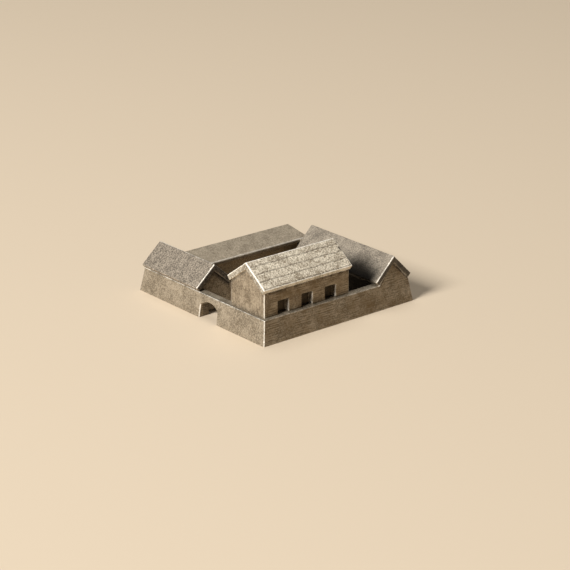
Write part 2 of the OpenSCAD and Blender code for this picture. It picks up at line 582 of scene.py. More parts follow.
@dataclass(frozen=True)
class AntiqueMetal:
    """Dark antiqued metal that is rubbed pale on its high spots and bright on its edges.

    Attributes:
        name: name of the material.
        patina: colour where the film is thick.
        rubbed: colour where the film is thin.
        bright: colour of a worn edge, which also stands in for the light's glint on it as a painted
            highlight.
        film: colour of the film: the real patina in corners and recesses, and the painted shade laid with
            it under roofs, beside the house and in the courtyard.
        stain: colour of what the level lines hold, which also darkens the front and back faces as painted
            shade.
        spread: how softly the two main colours pass into each other.
        mottle: strength of the slow change of tone.
        mottle_size: its size, in millimetres.
        grain: strength of the fine grain.
        grain_size: its size, in millimetres.
        lines: strength of the level lines.
        line_step: distance between two lines, in millimetres.
        line_bands: share of even bands in the lines.
        line_dashes: share of long dashes in the lines.
        dash_size: height of a dash, in steps.
        dash_length: length of a dash, in heights.
        line_patches: where the lines show.
        strokes: strength of the steep rub marks on faces without lines.
        stroke_size: width of a rub mark, in millimetres.
        stroke_length: its length, in widths.
        stroke_swirl: how far it is drawn out of shape.
        stain_and_shade: share of the stain on lined faces, real stain and painted shade of those sides.
        stain_patches: where the stain lies.
        wear_and_highlight: strength of the bright edges.
        worn_from: wear at which an edge starts to be bright.
        worn_to: wear at which it is wholly bright.
        worn_grain: how much the grain breaks up an edge.
        worn_mottle: how much the slow change of tone breaks it up.
        relief: height of the grain, in millimetres.
        line_relief: height of the lines, as a share of the grain's.
        roughness: roughness of the metal.
        rough_spread: change of roughness from the dark tone to the pale one.
        polish: share of its roughness that an edge loses.
        film_rough: roughness that the film adds.
        metallic: how metallic the surface is.
        edge_matt: share of that which an edge loses, so that its bright colour shows as a painted highlight
            under any light.
    """

    name: str
    patina: Colour
    rubbed: Colour
    bright: Colour = (0.95, 0.88, 0.76)
    film: Colour = (0.012, 0.009, 0.005)
    stain: Colour = (0.16, 0.104, 0.045)
    spread: float = 0.16
    mottle: float = 0.45
    mottle_size: float = 1.4
    grain: float = 1.6
    grain_size: float = 0.15
    lines: float = 0.9
    line_step: float = 0.26
    line_bands: float = 0.2
    line_dashes: float = 1.4
    dash_size: float = 0.6
    dash_length: float = 12
    line_patches: Patches = Patches(2.6, 1, -1.1, 3.2)
    strokes: float = 0
    stroke_size: float = 0.22
    stroke_length: float = 9
    stroke_swirl: float = 0.5
    stain_and_shade: float = 0.4
    stain_patches: Patches = Patches(2.1, 3, -1.4, 4.8)
    wear_and_highlight: float = 1.0
    worn_from: float = 1.05
    worn_to: float = 1.6
    worn_grain: float = 0.5
    worn_mottle: float = 0.8
    relief: float = 0.03
    line_relief: float = 0.8
    roughness: float = 0.45
    rough_spread: float = 0.2
    polish: float = 0.35
    film_rough: float = 0.4
    metallic: float = 0.45
    edge_matt: float = 0.5

    def material(self) -> bpy.types.Material:
        """Builds the material, once.

        Returns:
            The material of that name.
        """
        known = bpy.data.materials.get(self.name)
        if known:
            return known
        made = bpy.data.materials.new(self.name)
        wiring = Wiring(made)
        mottle = wiring.noise(self.mottle_size)
        grain = wiring.noise(self.grain_size)
        lines = self._lines(wiring)
        tone = wiring.sum(0.5 - 0.5 * (self.mottle + self.grain),
                          [(mottle, self.mottle), (grain, self.grain), (lines, self.lines),
                           (self._strokes(wiring), self.strokes)])
        film = wiring.attribute(FILM_AND_SHADE)
        edge = self._edge_mask(wiring, grain, mottle)
        wiring.fill(wiring.shader, {
            "Base Color": self._colour(wiring, tone, film, edge),
            "Roughness": wiring.sum(self.roughness + self.rough_spread / 2,
                                    [(tone, -self.rough_spread), (edge, -self.polish * self.roughness),
                                     (film, self.film_rough)]),
            "Metallic": wiring.sum(self.metallic, [(edge, -self.edge_matt * self.metallic)]),
            "Normal": self._bumps(wiring, grain, lines),
        })
        return made

    def _colour(self, wiring: Wiring, tone: Socket, film: Socket, edge: Socket) -> Socket:
        """Lays the stain, partly painted shade on the front and back faces, the film with its painted
        shade, and the bright edges with their painted highlights over the tone of the metal.

        Args:
            wiring: the material's nodes.
            tone: from patina to rubbed metal.
            film: share of the film, patina and painted shade.
            edge: share of the bright edge, worn metal and painted highlight.

        Returns:
            The colour.
        """
        stops = [(0.5 - self.spread, self.patina), (0.5 + self.spread, self.rubbed)]
        patches = self.stain_patches.wire(wiring, self.stain_and_shade)
        stain = wiring.product(patches, wiring.attribute(LAYERS_AND_SHADE))
        stained = wiring.mix(stain, wiring.ramp(tone, stops), self.stain)
        return wiring.mix(edge, wiring.mix(film, stained, self.film), self.bright)

    def _lines(self, wiring: Wiring) -> Socket:
        """Adds the level lines, broken up along their length, around zero.

        Args:
            wiring: the material's nodes.

        Returns:
            The lines, zero where the piece has none.
        """
        dashes = wiring.noise(self.line_step * self.dash_size, stretch=self.dash_length)
        both = wiring.sum(-0.5 * (self.line_bands + self.line_dashes),
                          [(wiring.bands(self.line_step), self.line_bands), (dashes, self.line_dashes)])
        broken = wiring.product(both, self.line_patches.wire(wiring))
        return wiring.product(broken, wiring.attribute(LAYERS_AND_SHADE))

    def _strokes(self, wiring: Wiring) -> Socket:
        """Adds steep rub marks, around zero, on the faces that have no level lines.

        Args:
            wiring: the material's nodes.

        Returns:
            The marks.
        """
        marks = wiring.noise(self.stroke_size * self.stroke_length, stretch=1 / self.stroke_length,
                             swirl=self.stroke_swirl)
        bare = wiring.sum(1, [(wiring.attribute(LAYERS_AND_SHADE), -1)])
        return wiring.product(wiring.sum(-0.5, [(marks, 1)]), bare)

    def _edge_mask(self, wiring: Wiring, grain: Socket, mottle: Socket) -> Socket:
        """Breaks up the band of wear and painted highlight along the edges by both noises.

        Args:
            wiring: the material's nodes.
            grain: the fine noise.
            mottle: the slow noise.

        Returns:
            The share of bright metal.
        """
        worn = wiring.sum(0, [(wiring.attribute(WEAR_AND_HIGHLIGHT), 1.0), (grain, self.worn_grain),
                              (mottle, self.worn_mottle)])
        mask = wiring.add("MapRange", {"Value": worn, "From Min": self.worn_from, "From Max": self.worn_to,
                                       "To Max": self.wear_and_highlight}, interpolation_type="SMOOTHSTEP")
        return mask.outputs["Result"]

    def _bumps(self, wiring: Wiring, grain: Socket, lines: Socket) -> Socket:
        """Raises the grain and the lines and returns the normal."""
        height = wiring.sum(0, [(grain, 1), (lines, self.line_relief)])
        return wiring.add("Bump", {"Distance": self.relief * MM, "Height": height}).outputs["Normal"]


WALL_METAL = AntiqueMetal(
    "wall_antique", (0.165, 0.13, 0.085), (0.43, 0.36, 0.265),
    mottle=0.7, grain=1.3, lines=1.4, strokes=0.15, wear_and_highlight=0.85)
HOUSE_METAL = AntiqueMetal(
    "house_antique", (0.16, 0.122, 0.078), (0.42, 0.345, 0.248),
    mottle=0.75, grain=1.0, lines=1.4, strokes=0.45, wear_and_highlight=0.95)
HOUSE_ROOF_METAL = AntiqueMetal(
    "house_roof_antique", (0.27, 0.212, 0.141), (0.87, 0.775, 0.61),
    lines=0, stain_and_shade=0, mottle=0.6, grain=1.25, grain_size=0.18, relief=0.05, roughness=0.7, metallic=0.15)
BARN_METAL = AntiqueMetal(
    "barn_antique", (0.155, 0.125, 0.085), (0.41, 0.34, 0.248),
    lines=0.4, stain_and_shade=0.1, wear_and_highlight=0.4)
# The range's walls are given darker metal than the other walls, as painted shade for their place deep in
# the courtyard
RANGE_SHADED_METAL = AntiqueMetal(
    "range_antique_shaded", (0.088, 0.067, 0.04), (0.24, 0.187, 0.118),
    stain_and_shade=0.3, wear_and_highlight=0.3)
GATE_ROOF_METAL = AntiqueMetal(
    "gate_barn_roof_antique", (0.135, 0.112, 0.083), (0.455, 0.38, 0.292),
    lines=0, stain_and_shade=0, grain=2.1, grain_size=0.16, relief=0.05)
SIDE_ROOF_METAL = AntiqueMetal(
    "side_barn_roof_antique", (0.16, 0.133, 0.10), (0.455, 0.385, 0.295),
    lines=0, stain_and_shade=0, mottle=0.6, grain=1.2, grain_size=0.14)
RANGE_ROOF_METAL = AntiqueMetal(
    "range_roof_antique", (0.25, 0.20, 0.138), (0.58, 0.482, 0.352),
    lines=0, stain_and_shade=0, mottle=0.5, grain=1.0, grain_size=0.16, wear_and_highlight=0.6)
RECESS_METAL = AntiqueMetal(
    "recess_antique", (0.03, 0.022, 0.013), (0.098, 0.074, 0.044),
    lines=0.1, wear_and_highlight=0)

HOUSE_ROOF_WEAR = Weathering(voxel=0.06, grain=0.04, grain_size=0.2, rub=0.13, level_dull=0.2, crest=0.2,
                             least=0.95)
BARN_ROOF_WEAR = Weathering(rub=0.12, level_dull=0.35)
RANGE_ROOF_WEAR = Weathering(rub=0.28, level_dull=0)


@dataclass
class Site:
    """The main sizes of the solids, in millimetres, read from the frame.

    Attributes:
        foot: lowest and highest corners of the wall's foot.
        wall_h: height of the wall.
        wall_foot_w: width of the wall at its foot.
        batter: how far the wall's outer face leans in over its height.
    """

    foot: tuple[Point, Point]
    wall_h: float
    wall_foot_w: float
    batter: float

    @staticmethod
    def box(node: str) -> tuple[Point, Point]:
        """Returns a node's lowest and highest corners in millimetres."""
        low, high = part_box(node)
        return tuple(c / MM for c in low), tuple(c / MM for c in high)

    @classmethod
    def read(cls) -> "Site":
        """Works the sizes out from the boxes of the nodes.

        Returns:
            The sizes.
        """
        gate_low, gate_high = cls.box("gate_wall")
        front_low, front_high = cls.box("front_wall")
        barn_roof_high = cls.box("gate_barn_roof")[1]
        return cls(
            foot=((front_low[0], gate_low[1], 0.0), (front_high[0], gate_high[1], 0.0)),
            wall_h=gate_high[2],
            wall_foot_w=gate_high[0] - gate_low[0],
            batter=gate_high[1] - barn_roof_high[1],
        )

    @property
    def lean(self) -> float:
        """How far the wall's outer face leans in for each millimetre of height."""
        return self.batter / self.wall_h


@dataclass(frozen=True)
class Eaves:
    """The underside of a gabled roof, which shapes the wall below it, with a painted shade that darkens the
    wall close below it.

    Attributes:
        run: axis of the ridge.
        middle: place of the ridge.
        half: distance from the ridge to the wall's face.
        eave_z: height of the underside at the eaves.
        peak_z: height of the underside at the ridge.
        reach: how far down the painted shade reaches, in millimetres.
        strength: share of the painted shade at the top.
    """

    run: Run
    middle: float
    half: float
    eave_z: float
    peak_z: float
    reach: float = 0.8
    strength: float = 0.9

    @classmethod
    def over(cls, walls: str, run: Run, eave_z: float, **film: float) -> "Eaves":
        """Reads the underside from the walls below it.

        Args:
            walls: node of the walls.
            run: axis of the ridge.
            eave_z: height of the underside at the eaves.
            film: reach and strength of the painted shade.

        Returns:
            The underside.
        """
        low, high = Site.box(walls)
        across = 1 - run.value
        middle = (low[across] + high[across]) / 2
        return cls(run, middle, middle - low[across], eave_z, high[2], **film)

    def cut(self, block: Form) -> None:
        """Cuts a block to both slopes of the underside.

        Args:
            block: the block.
        """
        across = 1 - self.run.value
        for side in (-1, 1):
            point = [0.0, 0.0, self.peak_z]
            normal = [0.0, 0.0, self.half]
            point[across] = self.middle
            normal[across] = side * (self.peak_z - self.eave_z)
            Bench.shave(block, point, normal)

    def film(self, walls: Form) -> np.ndarray:
        """Works out the painted shade under the roof on a wall.

        Args:
            walls: the fine mesh under the roof.

        Returns:
            The share of painted shade at each point.
        """
        points = Surface.points(walls)
        slope = (self.peak_z - self.eave_z) / self.half
        under = self.peak_z - slope * np.abs(points[:, 1 - self.run.value] - self.middle)
        film = self.strength * Surface.ramp(under - points[:, 2], self.reach, 0)
        return np.where(under > self.eave_z, film, 0)


@dataclass(frozen=True)
class PaintedShadow:
    """A neighbour whose cast shadow is painted onto a piece as a dark film.

    Attributes:
        node: the neighbour.
        near: distance up to which the painted shadow is whole, in millimetres.
        far: distance past which there is none.
        strength: share of the painted shadow near by.
    """

    node: str
    near: float
    far: float
    strength: float

    def film(self, obj: Form) -> np.ndarray:
        """Works out the painted shadow on a piece.

        Args:
            obj: the fine mesh beside the neighbour.

        Returns:
            The share of painted shadow at each point.
        """
        points = Surface.points(obj)
        gap = np.linalg.norm(points - np.clip(points, *Site.box(self.node)), axis=1)
        return self.strength * Surface.ramp(gap, self.far, self.near)


class Piece:
    """The last step of every piece: its finish, its body and the node that it stands for."""

    @staticmethod
    def dress(obj: Form, node: str, slot: str, finish: AntiqueMetal) -> Form:
        """Brings a piece to metres, gives it its finish and puts it in place of its node.

        Args:
            obj: the finished mesh, in millimetres.
            node: the node that it replaces.
            slot: the record's material slot; not used.
            finish: its metal.

        Returns:
            The piece.
        """
        Bench.finish(obj)
        if not obj.data.materials:
            obj.data.materials.append(finish.material())
        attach(obj, "root")
        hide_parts(node)
        log.info("%s: %d faces", obj.name, len(obj.data.polygons))
        return obj


@dataclass(frozen=True)
class Gateway:
    """The arched passage through the gate wall, in millimetres.

    Attributes:
        width: clear width.
        crown: height of the arch's crown.
        rise: rise of the arch over its springing.
        from_front: place of its middle along the wall.
        sides: number of sides of the arch's full circle.
    """

    width: float = 3.05
    crown: float = 2.08
    rise: float = 0.64
    from_front: float = 9.95
    sides: int = 96

    def form(self, site: Site) -> Form:
        """Models the passage as a solid to take away.

        Args:
            site: sizes of the enclosure.

        Returns:
            The passage, running past both faces of the wall.
        """
        x0 = site.foot[0][0] - PAST
        x1 = site.foot[0][0] + site.wall_foot_w + PAST
        y = site.foot[0][1] + self.from_front
        spring = self.crown - self.rise
        radius = (self.width ** 2 / 4 + self.rise ** 2) / (2 * self.rise)
        Bench.clear()
        bpy.ops.mesh.primitive_cylinder_add(
            vertices=self.sides, radius=radius, depth=x1 - x0,
            location=((x0 + x1) / 2, y, self.crown - radius), rotation=(0, math.pi / 2, 0))
        vault = bpy.context.object
        bpy.ops.object.transform_apply(location=True, rotation=True, scale=True)
        for side in (-1, 1):
            Bench.shave(vault, (0, y + side * self.width / 2, 0), (0, side, 0))
        Bench.shave(vault, (0, 0, spring), (0, 0, -1))
        jambs = Bench.block("jambs", (x0, y - self.width / 2, -PAST), (x1, y + self.width / 2, spring))
        Bench.combine(vault, jambs, Cut.ADD)
        return vault

    def lines(self, points: np.ndarray, site: Site, lip: float) -> np.ndarray:
        """Tells which points of the wall are on the faces of the passage.

        Args:
            points: the wall's points, one row each.
            site: sizes of the enclosure.
            lip: radius of a worn edge.

        Returns:
            True for each such point.
        """
        (x0, y0, _), _ = site.foot
        deep = points[:, 0] > x0 + site.batter + lip
        short = points[:, 0] < x0 + site.wall_foot_w + lip
        wide = np.abs(points[:, 1] - y0 - self.from_front) < self.width / 2 + lip
        return deep & short & wide & (points[:, 2] < self.crown + lip)


@dataclass
class EnclosureWall:
    """The leaning wall round the courtyard, made in one ring and parted at its mitres.

    Attributes:
        site: sizes of the enclosure.
        gateway: its arched passage.
        weathering: how it is aged.
        finish: its metal.
        passage_film_and_shade: share of the dark film in the passage, partly patina and partly painted
            shade.
        court_depth: how far below the top the dark film on the courtyard faces, partly patina and partly
            painted shade, is whole, in millimetres.
        court_dull: share of the wear that the faces towards the courtyard lose, which keeps bright edges
            out of the painted shade.
        gable_reach: how far below the barns' roofs the painted shade reaches, in millimetres.
        gable_shade: share of that painted shade at the top.
    """

    site: Site
    gateway: Gateway = Gateway()
    weathering: Weathering = Weathering()
    finish: AntiqueMetal = WALL_METAL
    passage_film_and_shade: float = 0.4
    court_depth: float = 0.5
    court_dull: float = 0.9
    gable_reach: float = 0.35
    gable_shade: float = 0.7

    def build(self) -> list[Form]:
        """Models the ring, ages it and parts it.

        Returns:
            The front, gate, right and back walls.
        """
        ring = self._ring()
        self._add_gable(ring, "side_barn_walls", front=True)
        self._add_gable(ring, "gate_barn_walls", front=False)
        self._bear_range(ring)
        self._lean(ring)
        Bench.combine(ring, self.gateway.form(self.site), Cut.TAKE)
        self.weathering.age(ring)
        self._film_and_shade_court(ring)
        return self._part(ring)

    def _ring(self) -> Form:
        """Makes the plain upright wall round the courtyard.

        Returns:
            The wall.
        """
        (x0, y0, _), (x1, y1, _) = self.site.foot
        w, h = self.site.wall_foot_w, self.site.wall_h
        ring = Bench.block("enclosure", (x0, y0, 0), (x1, y1, h))
        court = Bench.block("court", (x0 + w, y0 + w, -PAST), (x1 - w, y1 - w, h + PAST))
        Bench.combine(ring, court, Cut.TAKE)
        return ring

    def _lean(self, ring: Form) -> None:
        """Cuts the four outer faces to their lean.

        Args:
            ring: the wall.
        """
        (x0, y0, _), (x1, y1, _) = self.site.foot
        lean = self.site.lean
        for point, normal in (((x0, 0, 0), (-1, 0, lean)), ((x1, 0, 0), (1, 0, lean)),
                              ((0, y0, 0), (0, -1, lean)), ((0, y1, 0), (0, 1, lean))):
            Bench.shave(ring, point, normal)

    def _add_gable(self, ring: Form, walls: str, front: bool) -> None:
        """Raises a barn's gable out of the wall.

        Args:
            ring: the wall.
            walls: node of the barn's walls.
            front: whether the gable is in the front wall or the back wall.
        """
        low, high = Site.box(walls)
        (_, y0, _), (_, y1, _) = self.site.foot
        w, h = self.site.wall_foot_w, self.site.wall_h
        near, far = (y0, y0 + w) if front else (y1 - w, y1)
        gable = Bench.block("gable", (low[0], near, h - PAST), (high[0], far, high[2]))
        Eaves.over(walls, Run.ALONG_Y, h).cut(gable)
        Bench.combine(ring, gable, Cut.ADD)

    def _bear_range(self, ring: Form) -> None:
        """Cuts the right wall and raises the back wall to the slope of the range's roof.

        Args:
            ring: the wall.
        """
        site = self.site
        walls_low, walls_high = Site.box("back_range_walls")
        roof_low, _ = Site.box("back_range_roof")
        inner_y, h = walls_high[1], site.wall_h
        eave = BackRange.eave_y(roof_low)
        slope = (h - roof_low[2]) / (inner_y - eave)
        x1, y1 = site.foot[1][0], site.foot[1][1]
        wedge = Bench.block("bearing", (walls_low[0], inner_y, h - PAST), (x1, y1, h + PAST))
        Bench.shave(wedge, (0, inner_y, h), (0, -slope, 1))
        Bench.combine(ring, wedge, Cut.ADD)
        over = Bench.block("over", (x1 - site.wall_foot_w - PAST, roof_low[1] - PAST, roof_low[2] - PAST),
                           (x1 + PAST, inner_y, h + PAST))
        Bench.shave(over, (0, inner_y, h), (0, slope, -1))
        Bench.shave(over, (0, eave, roof_low[2]), (0, -1, -slope))
        Bench.combine(ring, over, Cut.TAKE)

    def _film_and_shade_court(self, ring: Form) -> None:
        """Darkens the faces towards the courtyard and the passage, partly with patina that rubbing doesn't
        reach and partly with painted shade, and paints shade under the barns' roofs.

        Args:
            ring: the wall.
        """
        (x0, y0, _), (x1, y1, _) = self.site.foot
        w, h, lip = self.site.wall_foot_w, self.site.wall_h, self.weathering.edge
        points = Surface.points(ring)
        across = np.minimum(points[:, 0] - x0, x1 - points[:, 0])
        along = np.minimum(points[:, 1] - y0, y1 - points[:, 1])
        inside = Surface.ramp(np.minimum(across, along), w - lip, w)
        Surface.store(ring, FILM_AND_SHADE, inside * Surface.ramp(points[:, 2], h, h - self.court_depth))
        Surface.lift(ring, FILM_AND_SHADE, self.passage_film_and_shade * self.gateway.lines(points, self.site, lip))
        for walls in ("side_barn_walls", "gate_barn_walls"):
            eaves = Eaves.over(walls, Run.ALONG_Y, h, reach=self.gable_reach, strength=self.gable_shade)
            Surface.lift(ring, FILM_AND_SHADE, eaves.film(ring))
        Surface.fade(ring, WEAR_AND_HIGHLIGHT, self.court_dull * inside)

    def _part(self, ring: Form) -> list[Form]:
        """Parts the ring at its four mitres into named walls.

        Args:
            ring: the aged wall.

        Returns:
            The walls.
        """
        (x0, y0, _), (x1, y1, _) = self.site.foot
        corners = {"sw": (x0, y0), "se": (x1, y0), "ne": (x1, y1), "nw": (x0, y1)}
        sides = {
            "front_wall": (("sw", (-1, 1)), ("se", (1, 1))),
            "gate_wall": (("sw", (1, -1)), ("nw", (1, 1))),
            "right_wall": (("se", (-1, -1)), ("ne", (-1, 1))),
            "back_wall": (("nw", (-1, -1)), ("ne", (1, -1))),
        }
        walls = []
        for node, mitres in sides.items():
            wall = Bench.copy(ring, f"{node}_cast")
            for corner, normal in mitres:
                Bench.shave(wall, (*corners[corner], 0), (*normal, 0))
            walls.append(Piece.dress(wall, node, "wall_metal", self.finish))
        bpy.data.objects.remove(ring, do_unlink=True)
        return walls


@dataclass(frozen=True)
class Fold:
    """The lines of a slab that is folded at its ridge, in millimetres.

    Attributes:
        run: axis of the ridge.
        low: lowest corner of the slab's box.
        high: highest corner of its box.
        peak_z: height of its underside at the ridge.
        pitch: its slope.
    """

    run: Run
    low: Point
    high: Point
    peak_z: float
    pitch: float

    @classmethod
    def read(cls, node: str, walls: str, run: Run) -> "Fold":
        """Works the lines out from the boxes of a roof and of its walls.

        Args:
            node: the roof.
            walls: the walls that carry it.
            run: axis of the ridge.

        Returns:
            The lines.
        """
        low, high = Site.box(node)
        peak_z = Site.box(walls)[1][2]
        reach = (high[1 - run.value] - low[1 - run.value]) / 2
        first_guess, rounds = 0.7, 40
        pitch = first_guess
        for _ in range(rounds):
            thick = (high[2] - peak_z) * math.cos(pitch)
            pitch = math.atan2(peak_z - low[2], reach - thick * math.sin(pitch))
        return cls(run, low, high, peak_z, pitch)

    @property
    def across(self) -> int:
        """The axis across the ridge."""
        return 1 - self.run.value

    @property
    def middle(self) -> float:
        """The ridge's place across the slab."""
        return (self.low[self.across] + self.high[self.across]) / 2

    @property
    def half(self) -> float:
        """Half the span of the underside."""
        return (self.peak_z - self.low[2]) / math.tan(self.pitch)

    @property
    def thickness(self) -> float:
        """The slab's thickness, square to its slope."""
        return (self.high[2] - self.peak_z) * math.cos(self.pitch)


@dataclass
class GabledRoof:
    """A slab folded over a ridge, its eaves cut square to the slope, in millimetres.

    Attributes:
        node: the node that it stands for.
        slot: the record's material slot.
        run: axis of the ridge.
        finish: its metal.
        weathering: how it is aged.
        coursed: whether it has low courses.
        course_pitch: height of a course along the slope.
        first_course: height of the lowest groove over the eaves.
        course_step: how far a course stands out over the next.
        course_waver: height, turns and start of each wave in a course's line.
        groove_w: width of the groove between two courses.
        groove_d: its depth.
        groove_film: share of the film in it.
        end_film: share of the film on the slab's ends.
        eave_rub: wear of the narrow faces of the eaves.
        nick: how far below the ridge the far verge has a nick, 0 for none.
        nick_size: its size.
        nick_depth: its depth, in half sizes.
        nick_film: share of the film in it, with the distances, in sizes, where it ends and is whole.
        painted_shadow: neighbour whose shadow is painted on it.
        handled_end: how far from its near end a slab with a painted shadow is handled.
        handled_least: share of the wear that it keeps further on.
        verge_rub: width of the near verge that is kept free of the painted shadow.
    """

    node: str
    slot: str
    run: Run
    finish: AntiqueMetal
    weathering: Weathering = BARN_ROOF_WEAR
    coursed: bool = False
    course_pitch: float = 1.02
    first_course: float = 0.15
    course_step: float = 0.02
    course_waver: tuple[Point, ...] = ((0.03, 1.7, 0.0), (0.015, 5.3, 1.0))
    groove_w: float = 0.06
    groove_d: float = 0.03
    groove_film: float = 0.5
    end_film: float = 0.65
    eave_rub: float = 0
    nick: float = 0
    nick_size: float = 0.26
    nick_depth: float = 1.2
    nick_film: tuple[float, float, float] = (0.9, 1.5, 0.875)
    painted_shadow: PaintedShadow | None = None
    handled_end: float = 4.0
    handled_least: float = 0.3
    verge_rub: float = 1.2

    def build(self, walls: str) -> Form:
        """Folds a sheet over the walls, thickens it and ages it.

        Args:
            walls: node of the walls that carry the roof.

        Returns:
            The roof.
        """
        fold = Fold.read(self.node, walls, self.run)
        slab = self._sheet(fold)
        Bench.apply(slab, "SOLIDIFY", thickness=fold.thickness, offset=1, use_even_offset=True)
        hole = self._nick(slab, fold) if self.nick else None
        self.weathering.age(slab)
        if self.coursed:
            self._lay_courses(slab, fold)
        # Painted shadow of the neighbour
        if self.painted_shadow:
            self._paint_shadow(slab, fold)
        self._dull_ends(slab)
        self._rub_eaves(slab, fold)
        if hole:
            self._fill_with_film(slab, hole)
        return Piece.dress(slab, self.node, self.slot, self.finish)

    def _sheet(self, fold: Fold) -> Form:
        """Makes the underside as one sheet folded at the ridge.

        Args:
            fold: the slab's lines.

        Returns:
            The sheet, facing up.
        """
        along, across = self.run.value, fold.across
        eave_z, peak_z = fold.low[2], fold.peak_z
        Bench.clear()
        bpy.ops.mesh.primitive_plane_add(size=1)
        sheet = bpy.context.object
        sheet.name = f"{self.node}_slab"
        for number, vertex in enumerate(sheet.data.vertices):
            at_eave = number < 2
            corner = [0.0, 0.0, eave_z if at_eave else peak_z]
            corner[along] = (fold.low, fold.high)[number % 2][along]
            corner[across] = fold.middle - fold.half if at_eave else fold.middle
            vertex.co = corner
        Bench.take(sheet)
        bpy.ops.object.mode_set(mode="EDIT")
        bpy.ops.mesh.select_all(action="DESELECT")
        shape = bmesh.from_edit_mesh(sheet.data)
        for edge in shape.edges:
            edge.select_set(all(abs(v.co.z - peak_z) < SAME_HEIGHT for v in edge.verts))
        shape.select_flush_mode()
        bmesh.update_edit_mesh(sheet.data)
        move = [0.0, 0.0, eave_z - peak_z]
        move[across] = fold.half
        bpy.ops.mesh.extrude_region_move(TRANSFORM_OT_translate={"value": move})
        bpy.ops.mesh.select_all(action="SELECT")
        bpy.ops.mesh.normals_make_consistent(inside=False)
        bpy.ops.object.mode_set(mode="OBJECT")
        if sheet.data.polygons[0].normal.z < 0:
            sheet.data.flip_normals()
        return sheet

    def _nick(self, slab: Form, fold: Fold) -> Point:
        """Knocks a small nick out of the far verge of the front slope.

        Args:
            slab: the plain slab, its ridge along X.
            fold: its lines.

        Returns:
            The middle of the nick.
        """
        half = self.nick_size / 2
        x = fold.high[0]
        y = fold.middle - self.nick * math.cos(fold.pitch)
        z = fold.high[2] - self.nick * math.sin(fold.pitch)
        tool = Bench.block("nick", (x - half, y - half, z - self.nick_depth * half),
                           (x + half, y + half, z + self.nick_size))
        Bench.combine(slab, tool, Cut.TAKE)
        return x, y, z

    def _fill_with_film(self, slab: Form, hole: Point) -> None:
        """Leaves the film in a nick, where rubbing doesn't reach.

        Args:
            slab: the fine mesh.
            hole: the middle of the nick.
        """
        strength, none, whole = self.nick_film
        gap = np.linalg.norm(Surface.points(slab) - np.array(hole), axis=1)
        inside = Surface.ramp(gap / self.nick_size, none, whole)
        Surface.lift(slab, FILM_AND_SHADE, strength * inside)
        Surface.fade(slab, WEAR_AND_HIGHLIGHT, inside)

    def _rub_eaves(self, slab: Form, fold: Fold) -> None:
        """Rubs the narrow faces of the eaves.

        Args:
            slab: the fine mesh.
            fold: its lines.
        """
        facing = Surface.normals(slab)
        outward = np.abs(facing[:, fold.across]) * math.cos(fold.pitch)
        eaves = outward - facing[:, 2] * math.sin(fold.pitch)
        Surface.lift(slab, WEAR_AND_HIGHLIGHT, self.eave_rub * Surface.ramp(eaves, *SQUARE))

    def _paint_shadow(self, slab: Form, fold: Fold) -> None:
        """Paints the neighbour's shadow on the slab as a dark film, takes the bright edges off inside it,
        and rubs the slab's edges at its near end alone.

        Args:
            slab: the fine mesh.
            fold: its lines.
        """
        off = Surface.points(slab)[:, self.run.value] - fold.low[self.run.value]
        film = self.painted_shadow.film(slab) * Surface.ramp(off, 0, self.verge_rub)
        Surface.store(slab, FILM_AND_SHADE, film)
        least = self.handled_least
        handled = np.clip(1 + least - off / self.handled_end, least, 1)
        Surface.fade(slab, WEAR_AND_HIGHLIGHT, 1 - (1 - film) * handled)

    def _dull_ends(self, slab: Form) -> None:
        """Leaves a thin film on the slab's ends, which are rubbed less than its slopes."""
        facing = np.abs(Surface.normals(slab)[:, self.run.value])
        Surface.lift(slab, FILM_AND_SHADE, self.end_film * Surface.ramp(facing, *SQUARE))

    def _lay_courses(self, slab: Form, fold: Fold) -> None:
        """Marks the upper faces with low courses, parted by shallow dark grooves.

        Args:
            slab: the fine mesh.
            fold: its lines.
        """
        points = Surface.points(slab)
        along = points[:, self.run.value]
        off = points[:, fold.across] - fold.middle
        down = np.abs(off) / math.cos(fold.pitch)
        up = down.max() - down
        upper = Surface.ramp(Surface.normals(slab)[:, 2], *UPPER)
        waver = sum(height * np.sin(along * turns + start) for height, turns, start in self.course_waver)
        share = (up - self.first_course + waver) / self.course_pitch
        phase = share - np.round(share)
        groove = np.exp(-(phase * self.course_pitch / self.groove_w) ** 2) * upper
        step = self.course_step * (0.5 - (share - np.floor(share))) * upper
        outward = np.zeros_like(points)
        outward[:, fold.across] = np.sign(off) * math.sin(fold.pitch)
        outward[:, 2] = math.cos(fold.pitch)
        Surface.move(slab, points + outward * (step - self.groove_d * groove)[:, None])
        Surface.store(slab, FILM_AND_SHADE, self.groove_film * groove)


